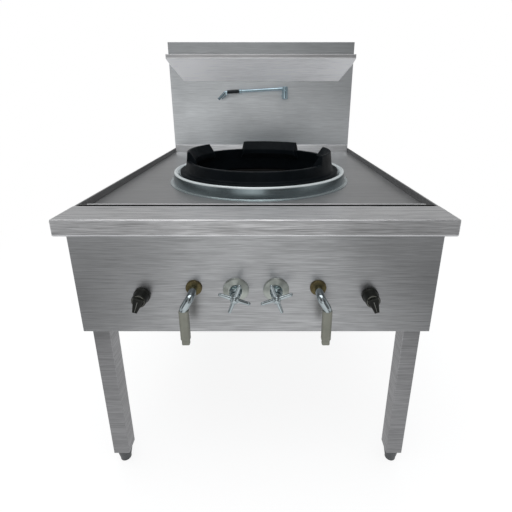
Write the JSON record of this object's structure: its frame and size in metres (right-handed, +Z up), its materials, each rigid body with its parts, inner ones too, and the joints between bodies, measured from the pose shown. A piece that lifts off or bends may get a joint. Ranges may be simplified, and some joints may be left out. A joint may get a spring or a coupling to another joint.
{
  "type": "wok range",
  "caption": "Free-standing stainless gas wok range with a deep recessed deck, cast ring, knee levers, taps, tall splash with shelf and swing faucet.",
  "frame": {"origin": "middle of the footprint of the whole range, on the floor", "axes": "+Z up, +X to the cook's right, the front with the controls faces -Y"},
  "size_m": [0.9, 1.2534, 1.267],
  "materials": {
    "brushed_sheet": "horizontally brushed stainless sheet",
    "plain_sheet": "plain mill-finish stainless sheet",
    "brushed_legs": "brushed stainless square tube",
    "splash_sheet": "horizontally brushed stainless sheet, slightly cool",
    "polished_steel": "spun and polished stainless",
    "cast_iron": "black, slightly rough cast iron",
    "steel_pipe": "dull grey steel",
    "refractory": "rough heat-proof cement",
    "brass": "dull brass",
    "copper_tube": "copper tube",
    "chrome": "bright chrome plating",
    "lever_bar": "matte beige-grey coating on steel",
    "knob_black": "satin black plastic",
    "grip_black": "black rubber",
    "foot_grey": "dark grey moulded foot",
    "plug_black": "black moulded plug"
  },
  "bodies": {
    "range": {"burner_core": "cast_iron", "burner_ring": "cast_iron", "burner_stand": "steel_pipe", "chamber_lining": "refractory", "chamber_shell": "plain_sheet", "collar_ring": "polished_steel", "core_mixer": "steel_pipe", "deck_plate": "brushed_sheet", "faucet_elbow": "chrome", "faucet_riser": "copper_tube", "front_ledge": "brushed_sheet", "front_panel": "brushed_sheet", "gas_inlet": "steel_pipe", "gas_manifold": "steel_pipe", "gas_valve_left": "brass", "gas_valve_right": "brass", "gutter": "brushed_sheet", "left_panel": "brushed_sheet", "left_rim": "brushed_sheet", "leg_front_left": "brushed_legs", "leg_front_right": "brushed_legs", "leg_plugs": "plug_black", "leg_rear_left": "brushed_legs", "leg_rear_right": "brushed_legs", "lever_discs": "brass", "pilot_tubes": "copper_tube", "pilot_valve_left": "brass", "pilot_valve_right": "brass", "rear_coving": "brushed_sheet", "rear_panel": "plain_sheet", "right_panel": "brushed_sheet", "right_rim": "brushed_sheet", "ring_mixer": "steel_pipe", "rinse_pipe": "copper_tube", "shelf": "splash_sheet", "splash_back": "plain_sheet", "splash_front": "splash_sheet", "splash_screws": "steel_pipe", "tap_body_left": "chrome", "tap_body_right": "chrome", "tap_flanges": "chrome", "water_pipe": "copper_tube"},
    "pilot_knob_left": {"pilot_knob_left": "knob_black"},
    "pilot_knob_right": {"pilot_knob_right": "knob_black"},
    "gas_lever_left": {"lever_stem_left": "chrome", "lever_grip_left": "lever_bar"},
    "gas_lever_right": {"lever_stem_right": "chrome", "lever_grip_right": "lever_bar"},
    "tap_handle_left": {"tap_handle_left": "chrome"},
    "tap_handle_right": {"tap_handle_right": "chrome"},
    "faucet_arm": {"faucet_arm": "chrome", "faucet_grip": "grip_black", "faucet_nozzle": "chrome"},
    "outlet_lever": {"outlet_lever": "chrome"},
    "wok_ring": {"wok_ring": "cast_iron"},
    "foot_front_left": {"foot_front_left": "foot_grey"},
    "foot_front_right": {"foot_front_right": "foot_grey"},
    "foot_rear_left": {"foot_rear_left": "foot_grey"},
    "foot_rear_right": {"foot_rear_right": "foot_grey"}
  },
  "joints": [
    {"name": "pilot_knob_left_turn", "type": "hinge", "parent": "range", "child": "pilot_knob_left", "pos_m": [-0.273, -0.56325, 0.568], "axis": [0, 1, 0], "range_deg": [0, 90]},
    {"name": "pilot_knob_right_turn", "type": "hinge", "parent": "range", "child": "pilot_knob_right", "pos_m": [0.273, -0.56325, 0.568], "axis": [0, -1, 0], "range_deg": [0, 90]},
    {"name": "gas_lever_left_swing", "type": "hinge", "parent": "range", "child": "gas_lever_left", "pos_m": [-0.148, -0.56325, 0.588], "axis": [0, 1, 0], "range_deg": [0, 90]},
    {"name": "gas_lever_right_swing", "type": "hinge", "parent": "range", "child": "gas_lever_right", "pos_m": [0.148, -0.56325, 0.588], "axis": [0, -1, 0], "range_deg": [0, 90]},
    {"name": "tap_left_turn", "type": "hinge", "parent": "range", "child": "tap_handle_left", "pos_m": [-0.048, -0.56325, 0.582], "axis": [0, -1, 0], "range_deg": [0, 900]},
    {"name": "tap_right_turn", "type": "hinge", "parent": "range", "child": "tap_handle_right", "pos_m": [0.048, -0.56325, 0.582], "axis": [0, -1, 0], "range_deg": [0, 900]},
    {"name": "faucet_swing", "type": "hinge", "parent": "range", "child": "faucet_arm", "pos_m": [0.115, 0.50675, 1.048], "axis": [0, 0, 1], "range_deg": [0, 180]},
    {"name": "outlet_lever_tip", "type": "hinge", "parent": "faucet_arm", "child": "outlet_lever", "pos_m": [-0.167, 0.50675, 1.02993], "axis": [0, -1, 0], "range_deg": [0, 25]},
    {"name": "wok_ring_lift", "type": "slide", "parent": "range", "child": "wok_ring", "axis": [0, 0, 1], "range_m": [0, 0.12]},
    {"name": "foot_front_left_screw", "type": "slide", "parent": "range", "child": "foot_front_left", "axis": [0, 0, -1], "range_m": [0, 0.025]},
    {"name": "foot_front_right_screw", "type": "slide", "parent": "range", "child": "foot_front_right", "axis": [0, 0, -1], "range_m": [0, 0.025]},
    {"name": "foot_rear_left_screw", "type": "slide", "parent": "range", "child": "foot_rear_left", "axis": [0, 0, -1], "range_m": [0, 0.025]},
    {"name": "foot_rear_right_screw", "type": "slide", "parent": "range", "child": "foot_rear_right", "axis": [0, 0, -1], "range_m": [0, 0.025]}
  ]
}
